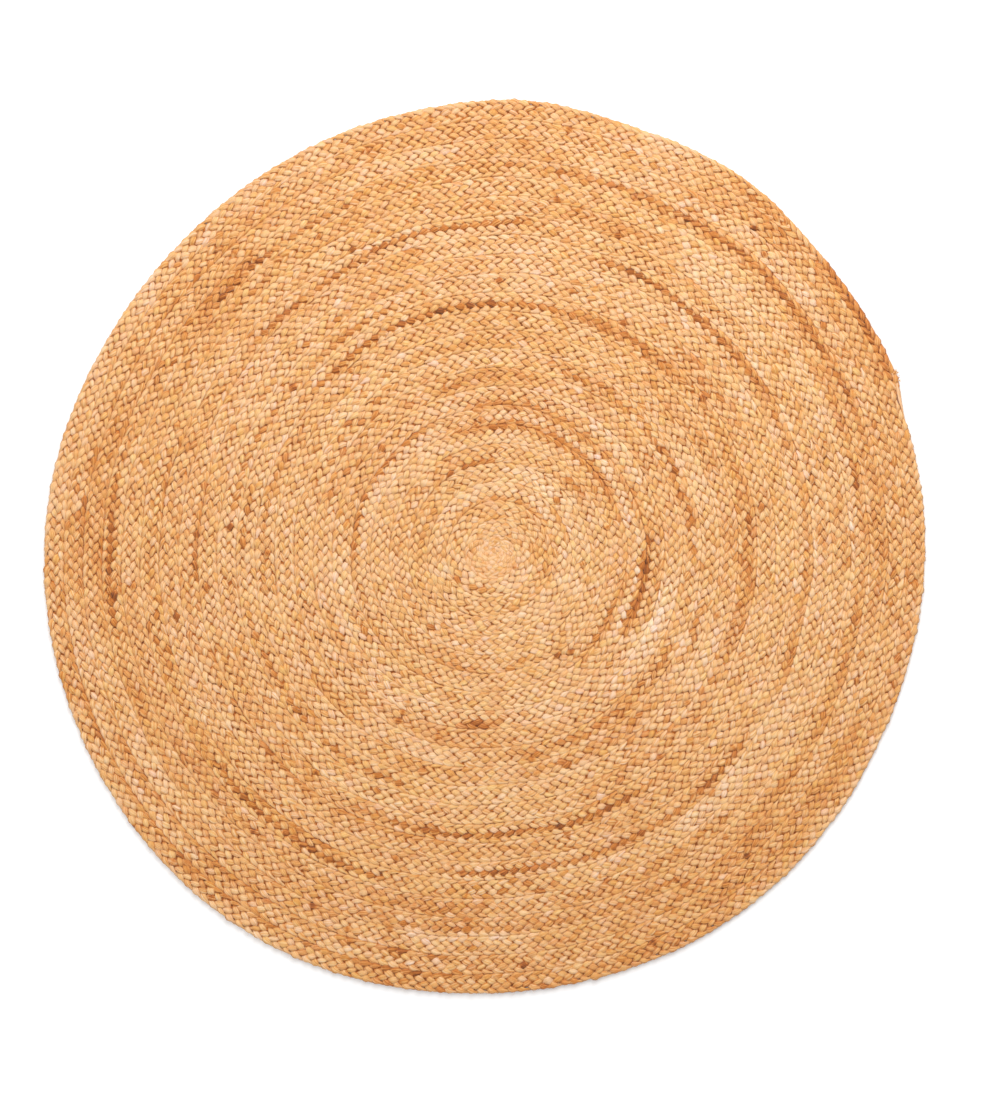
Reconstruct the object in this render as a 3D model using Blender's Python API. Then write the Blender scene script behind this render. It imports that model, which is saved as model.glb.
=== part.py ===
"""Round jute rug: one flat plait wound in a spiral and sewn edge to edge.

The rug is one flat solid that lies on the floor. Its edge is that of the last turn of the
plait: a spiral that shrinks by one plait width in a full turn, pulled a little out of round,
with the plait's own end narrowing to a point on it.

Frame: metres, +Z up. The underside is at z = 0, and the middle of the rug's box is the origin.
Angles are anticlockwise from +X, seen from above.
"""

import math

import bmesh
import bpy

# The plait and its winding
PLAIT_WIDTH = 0.0256
RUG_THICKNESS = 0.0100
COIL_EDGE_RADIUS = 0.6150       # outer edge of a full-width plait at the angle of its tip

# The end of the plait, measured back from its tip (anticlockwise)
TIP_ANGLE_DEG = 17.0
TIP_TAPER_DEG = 8.0             # the bound point
TAIL_LENGTH_DEG = 27.0          # where the thin tail starts to widen into the full plait
SHOULDER_DEG = 14.0             # over this it comes up to the full width
TAIL_SHARE = 0.5                # width of the thin tail, as a share of the plait's width

# How far the sewn coil is out of round: (lobes, reach in metres, angle of one peak in degrees)
OUT_OF_ROUND = (
    (1, 0.0075, -166.0),
    (2, 0.0071, 49.8),
    (3, 0.0021, -32.1),
    (4, 0.0008, 12.3),
    (5, 0.0019, 21.6),
    (6, 0.0009, 0.6),
)

# Short swells and dips of the edge: (angle in degrees, reach in metres, spread in degrees)
SWELLS = (
    (27.0, -0.0027, 5.0),
    (48.0, 0.0039, 4.5),
    (71.5, -0.0044, 5.0),
    (87.0, 0.0041, 5.0),
)

# The rounded rim, from the underside up: (inset share of the rim, height share of the thickness)
RIM_INSET = 0.0042
RIM_PROFILE = (
    (1.00, 0.00),
    (0.38, 0.12),
    (0.05, 0.32),
    (0.00, 0.52),
    (0.10, 0.74),
    (0.42, 0.92),
    (1.00, 1.00),
)

EDGE_STEP_DEG = 2.0
SMOOTH_ANGLE_DEG = 40.0

JUTE_COLOUR = (0.76, 0.40, 0.175, 1.0)
JUTE_ROUGHNESS = 0.9


def smooth_step(share):
    """Return an ease-in, ease-out ramp from 0 to 1."""
    share = min(max(share, 0.0), 1.0)
    return share * share * (3.0 - 2.0 * share)


def plait_share(degrees_from_tip):
    """Return the plait's width, as a share of its full width, at an angle back from its tip."""
    point = TAIL_SHARE * smooth_step(degrees_from_tip / TIP_TAPER_DEG)
    shoulder = (1.0 - TAIL_SHARE) * smooth_step((degrees_from_tip - TAIL_LENGTH_DEG) / SHOULDER_DEG)
    return point + shoulder


def pull(angle_deg):
    """Return how far the edge is pulled out of round at an angle."""
    lobed = sum(
        reach * math.cos(lobes * math.radians(angle_deg - peak_deg))
        for lobes, reach, peak_deg in OUT_OF_ROUND
    )
    swollen = 0.0
    for swell_deg, reach, spread_deg in SWELLS:
        away_deg = (angle_deg - swell_deg + 180.0) % 360.0 - 180.0
        swollen += reach * math.exp(-0.5 * (away_deg / spread_deg) ** 2)
    return lobed + swollen


def edge_radius(angle_deg):
    """Return the distance from the middle of the coil to the rug's edge."""
    degrees_from_tip = (angle_deg - TIP_ANGLE_DEG) % 360.0
    spiral = COIL_EDGE_RADIUS - PLAIT_WIDTH * degrees_from_tip / 360.0
    missing = PLAIT_WIDTH * (1.0 - plait_share(degrees_from_tip))
    return spiral - missing + pull(angle_deg)


def ring_points(inset):
    """Return the edge's points, drawn in towards the middle of the coil by an inset."""
    count = round(360.0 / EDGE_STEP_DEG)
    points = []
    for index in range(count):
        angle_deg = TIP_ANGLE_DEG + index * EDGE_STEP_DEG
        radius = edge_radius(angle_deg) - inset
        angle = math.radians(angle_deg)
        points.append((radius * math.cos(angle), radius * math.sin(angle)))
    return points


def box_middle(points):
    """Return the middle of the points' box."""
    middles = []
    for axis in (0, 1):
        values = [point[axis] for point in points]
        middles.append((min(values) + max(values)) / 2.0)
    return middles


def jute_material():
    """Return the rug's material."""
    material = bpy.data.materials.new("jute")
    material.use_nodes = True
    shader = material.node_tree.nodes["Principled BSDF"]
    shader.inputs["Base Color"].default_value = JUTE_COLOUR
    shader.inputs["Roughness"].default_value = JUTE_ROUGHNESS
    shader.inputs["Metallic"].default_value = 0.0
    return material


def rug_mesh():
    """Return the rug's closed mesh: flat underside, rounded rim and flat top."""
    middle_x, middle_y = box_middle(ring_points(0.0))
    mesh_edit = bmesh.new()
    rings = []
    for inset_share, height_share in RIM_PROFILE:
        height = height_share * RUG_THICKNESS
        rings.append([
            mesh_edit.verts.new((x - middle_x, y - middle_y, height))
            for x, y in ring_points(inset_share * RIM_INSET)
        ])
    for lower, upper in zip(rings, rings[1:]):
        for index, vert in enumerate(lower):
            following = (index + 1) % len(lower)
            mesh_edit.faces.new((vert, lower[following], upper[following], upper[index]))
    mesh_edit.faces.new(reversed(rings[0]))
    mesh_edit.faces.new(rings[-1])
    bmesh.ops.recalc_face_normals(mesh_edit, faces=mesh_edit.faces)
    mesh = bpy.data.meshes.new("braided_rug")
    mesh_edit.to_mesh(mesh)
    mesh_edit.free()
    mesh.shade_smooth()
    mesh.set_sharp_from_angle(angle=math.radians(SMOOTH_ANGLE_DEG))
    return mesh


def main():
    """Clear the scene and model the rug."""
    for scene_object in list(bpy.data.objects):
        bpy.data.objects.remove(scene_object, do_unlink=True)
    rug = bpy.data.objects.new("braided_rug", rug_mesh())
    rug.data.materials.append(jute_material())
    bpy.context.scene.collection.objects.link(rug)


main()
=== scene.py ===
"""Looks of the round jute rug: one flat plait, wound in a spiral and sewn edge to edge.

Every strand of the plait is geometry. Five strands cross over one and under one, and their
plait winds from the middle outwards, clockwise as seen from above. At the rim it narrows to a
three-strand tail that is bound off in a point. A thin sewn ground fills the coil between the
strands; its dark tone is partly painted shade, for the shadow in the gaps between them.

Frame: metres, +Z up, the underside at z = 0, the origin in the middle of the rug's box.
Angles are anticlockwise from +X, seen from above. "Back" is the winding angle, in radians,
measured back along the plait from its tip, so it grows towards the middle of the coil.
"""

from __future__ import annotations

import logging
import math
from dataclasses import dataclass
from enum import Enum
from functools import cached_property
from typing import NamedTuple

import bpy
import numpy as np
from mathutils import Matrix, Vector


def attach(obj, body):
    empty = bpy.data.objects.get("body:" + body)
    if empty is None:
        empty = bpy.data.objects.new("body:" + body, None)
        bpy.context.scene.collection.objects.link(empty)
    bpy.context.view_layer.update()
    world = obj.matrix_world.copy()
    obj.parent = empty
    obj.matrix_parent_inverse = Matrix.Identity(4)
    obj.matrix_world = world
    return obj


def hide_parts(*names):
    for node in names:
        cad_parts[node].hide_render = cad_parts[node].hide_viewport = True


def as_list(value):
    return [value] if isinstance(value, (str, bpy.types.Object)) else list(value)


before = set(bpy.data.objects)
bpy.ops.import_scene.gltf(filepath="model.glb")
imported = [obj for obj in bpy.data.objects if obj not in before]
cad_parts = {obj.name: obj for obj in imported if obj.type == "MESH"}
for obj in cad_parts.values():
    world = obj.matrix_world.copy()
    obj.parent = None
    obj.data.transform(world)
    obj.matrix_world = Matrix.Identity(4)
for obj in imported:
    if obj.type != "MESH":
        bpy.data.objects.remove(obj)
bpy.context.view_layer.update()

log = logging.getLogger("jute_rug")

RUG_NODE = "braided_rug"
BODY = "root"
FULL_TURN = 2.0 * math.pi

Array = np.ndarray


class Lobe(NamedTuple):
    """One lobe set of the outline: how many lobes, their reach and the angle of one peak."""

    count: int
    reach: float
    peak_deg: float


class Ripple(NamedTuple):
    """A slight waver of the turns: how it goes with X and with Y, in radians a metre."""

    along_x: float
    along_y: float
    phase: float

    def at(self, x: Array, y: Array) -> Array:
        """Return its height, from -1 to 1, at places on the coil."""
        return np.sin(self.along_x * x + self.along_y * y + self.phase)


class Swell(NamedTuple):
    """A short swell of the edge, or a dip where its reach is negative."""

    angle_deg: float
    reach: float
    spread_deg: float


class Band(NamedTuple):
    """A stretch of the coil drawn darker or paler than the rest.

    radius and angle_deg place its middle, sweep_deg is its length round the coil, breadth its
    size across the coil, shade is added to the tone, and strands is how many of the plait's
    strands have it.
    """

    radius: float
    angle_deg: float
    sweep_deg: float
    shade: float
    breadth: float = 0.011
    strands: int = 5


class Crossing(Enum):
    """What a strand does at one of its crossings; the value is its height there."""

    OVER = 1.0
    UNDER = -1.0
    EDGE = 0.0


BANDS = (
    Band(0.602, 47.0, 18.0, -0.06, 0.018),
    Band(0.587, -75.0, 36.0, -0.08, 0.014),
    Band(0.579, -128.0, 76.0, -0.15, 0.010),
    Band(0.562, 20.0, 84.0, -0.05, 0.080),
    Band(0.562, -50.0, 50.0, -0.07, 0.034),
    Band(0.558, 150.0, 80.0, -0.10, 0.010),
    Band(0.551, -132.0, 66.0, -0.12, 0.009, 4),
    Band(0.552, -105.0, 14.0, -0.16, 0.010, 3),
    Band(0.527, 57.0, 74.0, -0.17, 0.010),
    Band(0.517, 177.0, 30.0, -0.22, 0.010),
    Band(0.523, 160.0, 60.0, -0.07, 0.026),
    Band(0.515, 125.0, 26.0, -0.18, 0.010),
    Band(0.507, -10.0, 80.0, -0.13, 0.016),
    Band(0.510, -90.0, 60.0, -0.09, 0.010),
    Band(0.518, -152.0, 22.0, -0.08, 0.012),
    Band(0.488, -135.0, 32.0, -0.09, 0.010),
    Band(0.484, -75.0, 62.0, -0.11, 0.014, 4),
    Band(0.472, 78.0, 38.0, -0.10, 0.012, 3),
    Band(0.462, -127.0, 36.0, -0.25, 0.011),
    Band(0.449, -128.0, 18.0, -0.09, 0.010),
    Band(0.456, 175.0, 46.0, -0.05, 0.009),
    Band(0.440, 126.0, 30.0, -0.20, 0.009),
    Band(0.445, 99.0, 32.0, -0.29, 0.009),
    Band(0.419, 95.0, 22.0, -0.12, 0.010),
    Band(0.4215, 57.0, 26.0, -0.28, 0.010),
    Band(0.428, 10.0, 72.0, -0.15, 0.012),
    Band(0.430, -68.0, 62.0, -0.24, 0.010),
    Band(0.404, 175.0, 22.0, -0.16, 0.008),
    Band(0.396, -132.0, 66.0, -0.15, 0.011),
    Band(0.381, -87.0, 62.0, -0.26, 0.010),
    Band(0.3885, 130.0, 36.0, -0.17, 0.010, 3),
    Band(0.363, 140.0, 70.0, -0.20, 0.008),
    Band(0.335, 113.0, 46.0, -0.34, 0.008),
    Band(0.341, 81.0, 22.0, -0.22, 0.009),
    Band(0.3455, 60.0, 24.0, -0.20, 0.012),
    Band(0.350, 12.0, 76.0, -0.10, 0.014),
    Band(0.336, -138.0, 60.0, -0.20, 0.009, 4),
    Band(0.339, 172.0, 14.0, -0.18, 0.012, 3),
    Band(0.314, 168.0, 48.0, -0.14, 0.007),
    Band(0.2985, -22.0, 16.0, -0.22, 0.016, 3),
    Band(0.2985, -60.0, 38.0, -0.17, 0.014, 3),
    Band(0.288, -137.0, 32.0, -0.06, 0.012),
    Band(0.2865, 112.0, 42.0, -0.11, 0.008),
    Band(0.266, 40.0, 74.0, -0.20, 0.012, 3),
    Band(0.276, -60.0, 64.0, -0.12, 0.014, 3),
    Band(0.2365, -150.0, 22.0, -0.15, 0.012),
    Band(0.232, -95.0, 12.0, -0.24, 0.014),
    Band(0.190, 150.0, 74.0, -0.32, 0.010),
    Band(0.1765, 68.0, 88.0, -0.21, 0.013),
    Band(0.202, 58.0, 86.0, -0.17, 0.013),
    Band(0.207, -14.0, 32.0, -0.30, 0.013),
    Band(0.181, -28.0, 46.0, -0.17, 0.012),
    Band(0.204, -153.0, 14.0, -0.25, 0.009),
    Band(0.188, -135.0, 46.0, -0.13, 0.010),
    Band(0.159, -118.0, 46.0, -0.16, 0.009),
    Band(0.142, 39.0, 16.0, -0.12, 0.014),
    Band(0.141, 23.0, 10.0, -0.05, 0.012),
    Band(0.125, 108.0, 36.0, -0.23, 0.010, 4),
    Band(0.1285, -140.0, 36.0, -0.12, 0.010),
    Band(0.103, 162.0, 48.0, -0.06, 0.007),
    Band(0.102, 25.0, 42.0, -0.09, 0.007),
    Band(0.0785, 70.0, 192.0, -0.17, 0.009),
    Band(0.0895, -115.0, 22.0, -0.08, 0.010),
    Band(0.057, 155.0, 24.0, -0.12, 0.008),
    Band(0.0525, -125.0, 72.0, -0.17, 0.008),
    Band(0.0503, 5.0, 36.0, -0.18, 0.010),
    Band(0.031, 38.0, 42.0, -0.12, 0.007),
    # painted shade: a broad stretch on the -Y side of the coil, a little darker, away from the key
    # light
    Band(0.300, -95.0, 110.0, -0.03, 0.110),
    Band(0.566, -130.0, 64.0, 0.09, 0.009),
    Band(0.547, 55.0, 46.0, 0.09, 0.020),
    Band(0.550, 97.0, 10.0, 0.06, 0.016),
    Band(0.523, -93.0, 18.0, 0.13, 0.014),
    Band(0.493, 30.0, 62.0, 0.06, 0.013),
    Band(0.4515, -70.0, 64.0, 0.07, 0.018),
    Band(0.438, 10.0, 100.0, 0.09, 0.007),
    Band(0.402, 50.0, 44.0, 0.03, 0.011),
    Band(0.244, -32.0, 38.0, 0.11, 0.022),
    Band(0.227, 60.0, 36.0, 0.08, 0.016),
    Band(0.1965, -15.0, 42.0, 0.12, 0.007),
    Band(0.152, 78.0, 38.0, 0.04, 0.012),
    Band(0.140, -66.0, 24.0, 0.11, 0.016),
    Band(0.1115, 57.0, 58.0, 0.05, 0.015),
)


def ease(share: Array) -> Array:
    """Return a soft ramp from 0 to 1, level at both ends."""
    share = np.clip(share, 0.0, 1.0)
    return share * share * (3.0 - 2.0 * share)


def wander(seed: int, places: Array, spacing: float) -> Array:
    """Return smooth random values along a line.

    Args:
        seed: picks the values.
        places: positions along the line.
        spacing: distance from one random value to the next.

    Returns:
        Values with a spread of about one, one for each position.
    """
    at = np.asarray(places, dtype=float) / spacing
    low = np.floor(at).astype(np.int64)
    first = int(low.min())
    knots = np.random.default_rng(seed).normal(size=int(low.max()) - first + 2)
    share = ease(at - low)
    return knots[low - first] * (1.0 - share) + knots[low - first + 1] * share


class Drift(NamedTuple):
    """A smooth random drift: its spread, and the distance from one random value to the next."""

    spread: float
    spacing: float

    def at(self, seed: int, places: Array) -> Array:
        """Return the drift at places along a line."""
        return self.spread * wander(seed, places, self.spacing)


class Rare(NamedTuple):
    """What shows only where a random drift runs high, such as dark patches and flecks.

    spacing is the distance from one random value to the next, threshold is where it starts to
    show, most is how far past that it counts, and depth is its size for each step past it.
    """

    spacing: float
    threshold: float
    most: float
    depth: float

    def at(self, seed: int, places: Array) -> Array:
        """Return its size at places along a line."""
        over = wander(seed, places, self.spacing) - self.threshold
        return self.depth * np.clip(over, 0.0, self.most)


class Fade(NamedTuple):
    """A soft step from 0 to 1: where it starts, and how long it is."""

    start: float
    length: float

    def at(self, places: Array) -> Array:
        """Return the step's height at each place."""
        return ease((places - self.start) / self.length)


class Span(NamedTuple):
    """The lowest and the highest value that something may have."""

    low: float
    high: float

    def draw(self, random: np.random.Generator, count: int) -> Array:
        """Draw values from the span."""
        return random.uniform(self.low, self.high, count)


def grown(least: float, share: Array) -> Array:
    """Return a factor that grows from its least value to 1, as a share grows from 0 to 1."""
    return least + (1.0 - least) * share


def lie_of(centres: Array) -> tuple[Array, Array]:
    """Return how a strand lies along its centre line.

    Args:
        centres: points of the centre line, one a ring.

    Returns:
        Unit vectors to the side and upwards from the strand, one of each a ring.
    """
    along = np.gradient(centres, axis=0)
    along /= np.linalg.norm(along, axis=1, keepdims=True)
    side = np.cross(along, np.array([0.0, 0.0, 1.0]))
    side /= np.linalg.norm(side, axis=1, keepdims=True)
    return side, np.cross(side, along)


def ring_faces(rings: int, sides: int) -> Array:
    """Join rings of points, one after the other, with four-sided faces.

    Args:
        rings: how many rings there are.
        sides: how many points each has.

    Returns:
        The four points of each face, ring by ring.
    """
    ring = np.arange(rings - 1)[:, None] * sides
    side = np.arange(sides)[None, :]
    after = (side + 1) % sides
    corners = [ring + side, ring + sides + side, ring + sides + after, ring + after]
    return np.stack(corners, axis=2).reshape(-1, 4)


def write_jute(mesh: bpy.types.Mesh, tone: Array, warmth: Array, places: Array) -> None:
    """Write what the jute materials read on every point of a mesh.

    Args:
        mesh: the mesh to write on.
        tone: from 0, darkest, to 1, palest.
        warmth: from 0, yellowish, to 1, pinkish.
        places: the point's place in its strand: along it, and two places across it.
    """
    for name, values in (("tone", tone), ("warmth", warmth)):
        layer = mesh.attributes.new(name, "FLOAT", "POINT")
        layer.data.foreach_set("value", values.astype(np.float32))
    layer = mesh.attributes.new("strand_place", "FLOAT_VECTOR", "POINT")
    layer.data.foreach_set("vector", places.astype(np.float32).ravel())


def link(name: str, mesh: bpy.types.Mesh) -> bpy.types.Object:
    """Put a mesh into the scene as an object at the origin.

    Args:
        name: the object's name.
        mesh: its mesh, in the rug's frame.

    Returns:
        The object.
    """
    piece = bpy.data.objects.new(name, mesh)
    bpy.context.scene.collection.objects.link(piece)
    return piece


@dataclass(frozen=True)
class CoilPath:
    """The winding of the plait: where each place along and across it lies on the floor.

    The tail's angles are measured back from the tip: its point grows until point_deg, and the
    plait starts to broaden at tail_deg, over shoulder_deg. Turns are closest in the heart of
    the coil, at heart_share of the full width. The waver of hand sewing stops at the rim.
    """

    plait_width: float = 0.0256
    edge_radius: float = 0.6150
    tip_deg: float = 17.0
    point_deg: float = 8.0
    tail_deg: float = 27.0
    shoulder_deg: float = 14.0
    tail_share: float = 0.5
    heart_share: float = 0.42
    heart_radius: float = 0.052
    still_rim: Fade = Fade(0.85, 0.12)
    lobes: tuple[Lobe, ...] = (
        Lobe(1, 0.0075, -166.0),
        Lobe(2, 0.0071, 49.8),
        Lobe(3, 0.0021, -32.1),
        Lobe(4, 0.0008, 12.3),
        Lobe(5, 0.0019, 21.6),
        Lobe(6, 0.0009, 0.6),
    )
    swells: tuple[Swell, ...] = (
        Swell(27.0, -0.0027, 5.0),
        Swell(48.0, 0.0039, 4.5),
        Swell(71.5, -0.0044, 5.0),
        Swell(87.0, 0.0041, 5.0),
    )
    swell_fade: float = 6.0
    waver: float = 0.0008
    waver_x: tuple[Ripple, ...] = (Ripple(0.0, 31.0, 1.3), Ripple(-17.0, 53.0, 4.1))
    waver_y: tuple[Ripple, ...] = (Ripple(37.0, 0.0, 0.4), Ripple(47.0, 23.0, 2.2))
    table_step: float = 0.01

    @cached_property
    def table(self) -> tuple[Array, Array]:
        """The coil as a table, worked out once.

        Returns:
            Back angles, and the full plait's outer radius at each.
        """
        backs, radii = [0.0], [self.edge_radius]
        while radii[-1] > 0.0:
            share = self.heart_share + (1.0 - self.heart_share) * float(
                ease(np.float64(radii[-1] / self.heart_radius))
            )
            backs.append(backs[-1] + self.table_step)
            radii.append(radii[-1] - self.plait_width * share * self.table_step / FULL_TURN)
        return np.array(backs), np.array(radii)

    def outer(self, back: Array) -> Array:
        """Return the outer radius of the full plait, before the coil is pulled out of round."""
        backs, radii = self.table
        return np.interp(back, backs, radii)

    def inner(self, back: Array) -> Array:
        """Return the plait's inner radius, which is the outer one of the turn within it."""
        return np.maximum(self.outer(np.asarray(back) + FULL_TURN), 0.0)

    def width_share(self, back: Array) -> Array:
        """Return the plait's width, which falls off in the tail.

        Args:
            back: winding angle back from the tip, in radians.

        Returns:
            Its width at each place, as a share of the full one.
        """
        from_tip = np.degrees(back)
        point = self.tail_share * ease(from_tip / self.point_deg)
        shoulder = (1.0 - self.tail_share) * ease((from_tip - self.tail_deg) / self.shoulder_deg)
        return point + shoulder

    def middle_radius(self, back: Array) -> Array:
        """Return the radius of the full plait's middle line."""
        return 0.5 * (self.outer(back) + self.inner(back))

    def room(self, back: Array) -> Array:
        """Return the room between the turns, as a share of the full plait's width."""
        return (self.outer(back) - self.inner(back)) / self.plait_width

    def pull(self, angle: Array, radius: Array) -> Array:
        """Return how far a place is pulled outwards, because the coil isn't quite round.

        Args:
            angle: where the place lies round the coil, in radians.
            radius: how far out it lies.

        Returns:
            The pull at each place, in metres.
        """
        share = radius / self.edge_radius
        total = np.zeros_like(angle)
        for lobe in self.lobes:
            total += lobe.reach * np.cos(lobe.count * (angle - math.radians(lobe.peak_deg)))
        total *= share
        for swell in self.swells:
            away = (np.degrees(angle) - swell.angle_deg + 180.0) % 360.0 - 180.0
            bump = swell.reach * np.exp(-0.5 * (away / swell.spread_deg) ** 2)
            total += bump * share**self.swell_fade
        return total

    def flat_place(self, back: Array, across: Array) -> tuple[Array, Array]:
        """Return X and Y of places on the coil, from its own middle.

        Args:
            back: winding angle back from the tip, in radians.
            across: place across the plait, from -0.5 at its inner edge to 0.5 at its outer.

        Returns:
            X and Y of every place.
        """
        low = self.inner(back)
        radius = low + (self.outer(back) - low) * self.width_share(back) * (0.5 + across)
        angle = math.radians(self.tip_deg) + back
        radius = radius + self.pull(angle, radius)
        return radius * np.cos(angle), radius * np.sin(angle)

    def rim(self, inset: float, step_deg: float = 2.0) -> Array:
        """Return the rug's edge.

        Args:
            inset: how far the edge is drawn in.
            step_deg: angle from one of its points to the next.

        Returns:
            The edge as points, from the middle of the coil.
        """
        back = np.radians(np.arange(0.0, 360.0, step_deg))
        x, y = self.flat_place(back, np.full_like(back, 0.5))
        radius = np.hypot(x, y)
        keep = (radius - inset) / radius
        return np.stack([x * keep, y * keep], axis=1)

    def middle(self) -> Array:
        """Return the middle of the rug's box, seen from the middle of the coil."""
        rim = self.rim(0.0)
        return (rim.min(axis=0) + rim.max(axis=0)) / 2.0

    def place(self, back: Array, across: Array) -> tuple[Array, Array]:
        """Return places in the rug's frame, with the slight waver of turns sewn by hand.

        Args:
            back: winding angle back from the tip, in radians.
            across: place across the plait, from -0.5 to 0.5.

        Returns:
            X and Y of every place.
        """
        x, y = self.flat_place(back, across)
        wave_x = sum(ripple.at(x, y) for ripple in self.waver_x)
        wave_y = sum(ripple.at(x, y) for ripple in self.waver_y)
        fade = 1.0 - self.still_rim.at(np.hypot(x, y) / self.edge_radius)
        middle = self.middle()
        return (
            x - middle[0] + self.waver * wave_x * fade,
            y - middle[1] + self.waver * wave_y * fade,
        )


@dataclass(frozen=True)
class Section:
    """A strand's cross-section, flatter below and crowned on top, as shares of its half sizes."""

    across: tuple[float, ...] = (1.0, 0.54, -0.54, -1.0, 0.0)
    upward: tuple[float, ...] = (-0.10, 0.86, 0.86, -0.10, -1.0)
    # painted shade: the tone is taken down at the strand's sides and underside, where the cracks
    # between strands lie in shadow
    shade: tuple[float, ...] = (-0.10, 0.0, 0.0, -0.10, -0.13)

    def __len__(self) -> int:
        """Return how many sides the section has."""
        return len(self.across)

    def girth_shares(self) -> Array:
        """Measure the way round the section.

        Returns:
            How far round each corner lies, from 0 to 1, and 1 again for the first one.
        """
        points = np.array([self.across, self.upward]).T
        steps = np.linalg.norm(np.roll(points, -1, axis=0) - points, axis=1)
        return np.concatenate([[0.0], np.cumsum(steps)]) / steps.sum()


@dataclass
class Tube:
    """Rings of a section along a line, turned into one closed mesh with its jute's values.

    depth says how much of the section's painted shade shows, darker at its sides and underside
    where the cracks between strands lie. The fibres twist round the strand, and its bake map is
    cut into rows, each with a gap at its edges.
    """

    name: str
    centres: Array
    sides: Array
    ups: Array
    half_widths: Array
    half_heights: Array
    tone: Array
    warmth: Array
    depth: float | Array = 1.0
    section: Section = Section()
    twist_per_metre: float = 24.0
    girth_factor: float = 2.6
    bake_gap: float = 0.06

    def corners(self) -> Array:
        """Place the section on every ring.

        Returns:
            The mesh's points, one row a ring.
        """
        across = np.array(self.section.across)[None, :, None]
        upward = np.array(self.section.upward)[None, :, None]
        return (
            self.centres[:, None, :]
            + self.sides[:, None, :] * self.half_widths[:, None, None] * across
            + self.ups[:, None, :] * self.half_heights[:, None, None] * upward
        )

    def run(self) -> Array:
        """Return how far along the strand each ring is."""
        steps = np.linalg.norm(np.diff(self.centres, axis=0), axis=1)
        return np.concatenate([[0.0], np.cumsum(steps)])

    def fibre_places(self, run: Array) -> Array:
        """Work out where each point lies among the strand's twisted fibres.

        Args:
            run: how far along the strand each ring is.

        Returns:
            Each point's place along the strand, and its two places across it.
        """
        turn = self.twist_per_metre * run[:, None]
        y = np.array(self.section.across)[None, :] * self.half_widths[:, None]
        z = np.array(self.section.upward)[None, :] * self.half_heights[:, None]
        along = np.repeat(run[:, None], len(self.section), axis=1)
        return np.stack(
            [along, y * np.cos(turn) - z * np.sin(turn), y * np.sin(turn) + z * np.cos(turn)],
            axis=2,
        )

    def bake_rows(self, run: Array) -> Array:
        """Lay the strand's faces out flat, cut into rows that fill a square.

        Args:
            run: how far along the strand each ring is.

        Returns:
            The map's four corners of every face, face by face.
        """
        sides = len(self.section)
        girth = self.girth_factor * float(np.mean(self.half_widths + self.half_heights))
        rows = max(1, math.ceil(math.sqrt(run[-1] / girth)))
        row_length = run[-1] / rows
        start, stop = run[:-1], run[1:]
        row = np.minimum((0.5 * (start + stop) / row_length).astype(int), rows - 1)
        longest = float((stop - start).max())
        span = row_length + 2.0 * longest
        low = (start - row * row_length + longest) / span
        high = (stop - row * row_length + longest) / span
        around = self.bake_gap + (1.0 - 2.0 * self.bake_gap) * self.section.girth_shares()
        u = np.stack([low, high, high, low], axis=1)[:, None, :]
        v = np.stack([around[:sides], around[:sides], around[1:], around[1:]], axis=1)[None]
        v = (row[:, None, None] + v) / rows
        u, v = np.broadcast_arrays(u, v)
        return np.stack([u, v], axis=3).reshape(-1, 2)

    def tones(self) -> Array:
        """Add the section's painted shade, at its side and bottom corners, to the tone of the
        rings.

        Returns:
            Every point's tone, from 0, darkest, to 1, palest.
        """
        depth = np.broadcast_to(self.depth, self.tone.shape)
        # painted shade, darker at the sides and underside of every ring
        shade = depth[:, None] * np.array(self.section.shade)[None, :]
        return np.clip(self.tone[:, None] + shade, 0.0, 1.0).ravel()

    def build(self, material: bpy.types.Material) -> bpy.types.Object:
        """Make the closed mesh, its jute values and its bake map.

        Args:
            material: what the strand wears.

        Returns:
            The strand's object, at the origin.
        """
        rings, sides = len(self.centres), len(self.section)
        run = self.run()
        quads = ring_faces(rings, sides)
        caps = [list(range(sides)), list(range((rings - 1) * sides, rings * sides))[::-1]]
        mesh = bpy.data.meshes.new(self.name)
        mesh.from_pydata(self.corners().reshape(-1, 3).tolist(), [], quads.tolist() + caps)
        mesh.validate()
        write_jute(mesh, self.tones(), np.repeat(self.warmth, sides), self.fibre_places(run))
        bake = mesh.uv_layers.new(name="OFBake")
        corner_map = np.full((len(mesh.loops), 2), 0.5)
        corner_map[: len(quads) * 4] = self.bake_rows(run)
        bake.uv.foreach_set("vector", corner_map.astype(np.float32).ravel())
        mesh.shade_smooth()
        mesh.materials.append(material)
        return link(self.name, mesh)


@dataclass(frozen=True)
class HandWork:
    """How a plait made by hand strays from an even one; places are counted in crossings."""

    slip: Drift = Drift(0.06, 1.7)
    sway: Drift = Drift(0.014, 2.3)
    width: Drift = Drift(0.14, 2.1)
    thickness: Drift = Drift(0.07, 1.9)
    level: Drift = Drift(0.00025, 2.0)
    roll: Drift = Drift(0.13, 2.6)


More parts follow.
